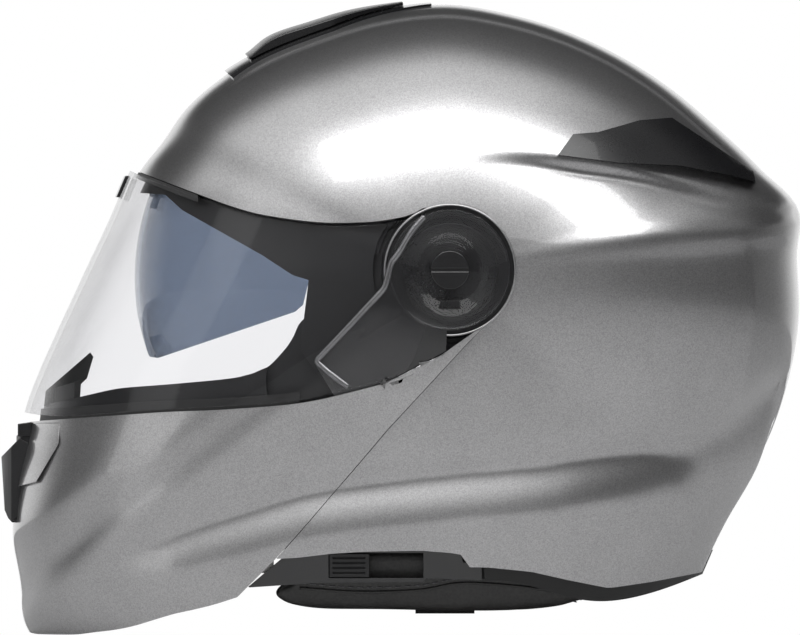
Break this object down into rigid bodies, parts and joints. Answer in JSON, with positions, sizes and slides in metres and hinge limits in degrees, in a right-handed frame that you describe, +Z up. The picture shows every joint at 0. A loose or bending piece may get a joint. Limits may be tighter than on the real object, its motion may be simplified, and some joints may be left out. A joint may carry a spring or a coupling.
{
  "type": "modular motorcycle helmet",
  "caption": "Modular motorcycle helmet with a flip-up chin bar, clear face shield, drop-down sun visor, vents, padded liner and chin strap.",
  "frame": {"origin": "under the middle of the helmet, at its lowest level (the chin bar's lower edge)", "axes": "the helmet faces -X, the wearer's left side is at -Y, +Z is up"},
  "size_m": [0.3514, 0.2588, 0.2784],
  "materials": {
    "metallic_paint": "silver-grey metallic paint under gloss clear coat",
    "black_gloss": "gloss black plastic",
    "black_matte": "matte black plastic",
    "clear_shield": "clear polycarbonate with a hard coat",
    "smoke_lens": "blue smoke polycarbonate",
    "grey_gloss": "gloss grey plastic insert",
    "rubber_trim": "soft black rubber",
    "foam_liner": "expanded polystyrene",
    "padding": "brushed fabric over foam",
    "leatherette": "black perforated leatherette",
    "webbing": "woven polyester webbing",
    "steel": "zinc-plated steel",
    "red_plastic": "red plastic pull"
  },
  "bodies": {
    "shell": {"outer_shell": "metallic_paint", "eyeport_frame": "black_matte", "brow_strip": "black_matte", "impact_liner_front": "foam_liner", "impact_liner_crown": "foam_liner", "impact_liner_rear": "foam_liner", "crown_pad": "padding", "cheek_pad_left": "padding", "cheek_pad_right": "padding", "neck_roll": "leatherette", "edge_trim": "rubber_trim", "crown_vent_housing": "black_gloss", "rear_vent_left": "black_gloss", "rear_vent_right": "black_gloss", "side_rail_left": "black_gloss", "side_rail_right": "black_gloss", "hinge_base_plate_left": "black_matte", "hinge_base_plate_right": "black_matte", "hinge_screws_left": "steel", "hinge_screws_right": "steel", "pivot_cap_left": "black_gloss", "pivot_cap_right": "black_gloss", "sun_visor_pivot_left": "black_matte", "sun_visor_pivot_right": "black_matte", "chin_strap_left": "webbing", "chin_strap_right": "webbing", "strap_anchor_left": "steel", "strap_anchor_right": "steel", "striker_pin_left": "steel", "striker_pin_right": "steel", "buckle_base": "black_matte", "buckle_tongue": "black_matte", "buckle_pin": "steel"},
    "chin_bar": {"chin_bar_shell": "metallic_paint", "hinge_arm_left": "black_matte", "hinge_arm_right": "black_matte", "chin_liner": "foam_liner", "chin_bar_gasket": "rubber_trim", "breath_deflector": "rubber_trim", "chin_curtain": "padding", "chin_vent_cover": "metallic_paint", "chin_vent_nose": "black_matte", "hook_pin_left": "steel", "hook_pin_right": "steel"},
    "shield": {"face_shield": "clear_shield", "shield_tab": "black_gloss", "shield_ratchet_left": "black_gloss", "shield_ratchet_right": "black_gloss"},
    "sun_visor": {"sun_visor": "smoke_lens"},
    "sun_visor_slider": {"sun_visor_slider": "black_matte"},
    "crown_vent_cover": {"crown_vent_cover": "black_gloss"},
    "chin_vent_shutter": {"chin_vent_shutter": "grey_gloss"},
    "release_button": {"release_button": "red_plastic"},
    "latch_hooks": {"latch_hook_left": "steel", "latch_hook_right": "steel"},
    "release_lever_left": {"release_lever_left": "black_gloss"},
    "release_lever_right": {"release_lever_right": "black_gloss"},
    "buckle_lever": {"buckle_lever": "red_plastic"}
  },
  "joints": [
    {"name": "chin_bar_lift", "type": "hinge", "parent": "shell", "child": "chin_bar", "pos_m": [0.02224, 0, 0.16014], "axis": [0, 1, 0], "range_deg": [0, 85]},
    {"name": "shield_lift", "type": "hinge", "parent": "chin_bar", "child": "shield", "pos_m": [0.02224, 0, 0.16014], "axis": [0, 1, 0], "range_deg": [0, 45]},
    {"name": "sun_visor_swing", "type": "hinge", "parent": "shell", "child": "sun_visor", "pos_m": [-0.00901, 0, 0.15663], "axis": [0, 1, 0], "range_deg": [0, 40]},
    {"name": "sun_visor_slide", "type": "slide", "parent": "shell", "child": "sun_visor_slider", "axis": [1, 0, 0], "range_m": [0, 0.02]},
    {"name": "crown_vent_slide", "type": "hinge", "parent": "shell", "child": "crown_vent_cover", "pos_m": [0.02224, 0, 0.16014], "axis": [0, 1, 0], "range_deg": [0, 3]},
    {"name": "chin_vent_slide", "type": "slide", "parent": "chin_bar", "child": "chin_vent_shutter", "axis": [-1, 0, 0], "range_m": [0, 0.003]},
    {"name": "chin_bar_button", "type": "slide", "parent": "chin_bar", "child": "release_button", "axis": [0, 0, -1], "range_m": [0, 0.004]},
    {"name": "latch_turn", "type": "hinge", "parent": "chin_bar", "child": "latch_hooks", "pos_m": [-0.07996, 0, 0.03565], "axis": [0, 1, 0], "range_deg": [-12, 0]},
    {"name": "left_shield_release", "type": "slide", "parent": "shield", "child": "release_lever_left", "axis": [0, 0, -1], "range_m": [0, 0.0025], "stiffness_N_per_m": 200, "springref_m": -0.001},
    {"name": "right_shield_release", "type": "slide", "parent": "shield", "child": "release_lever_right", "axis": [0, 0, -1], "range_m": [0, 0.0025], "stiffness_N_per_m": 200, "springref_m": -0.001},
    {"name": "buckle_lift", "type": "hinge", "parent": "shell", "child": "buckle_lever", "pos_m": [0.02, -0.023, 0.0152], "axis": [1, 0, 0], "range_deg": [0, 40], "stiffness_Nm_per_rad": 0.02, "springref_deg": -17.19}
  ],
  "couplings": [
    {"joint": "sun_visor_slide", "follows": "sun_visor_swing", "m_per_rad": 0.0286},
    {"joint": "latch_turn", "follows": "chin_bar_button", "rad_per_m": -52.3}
  ]
}
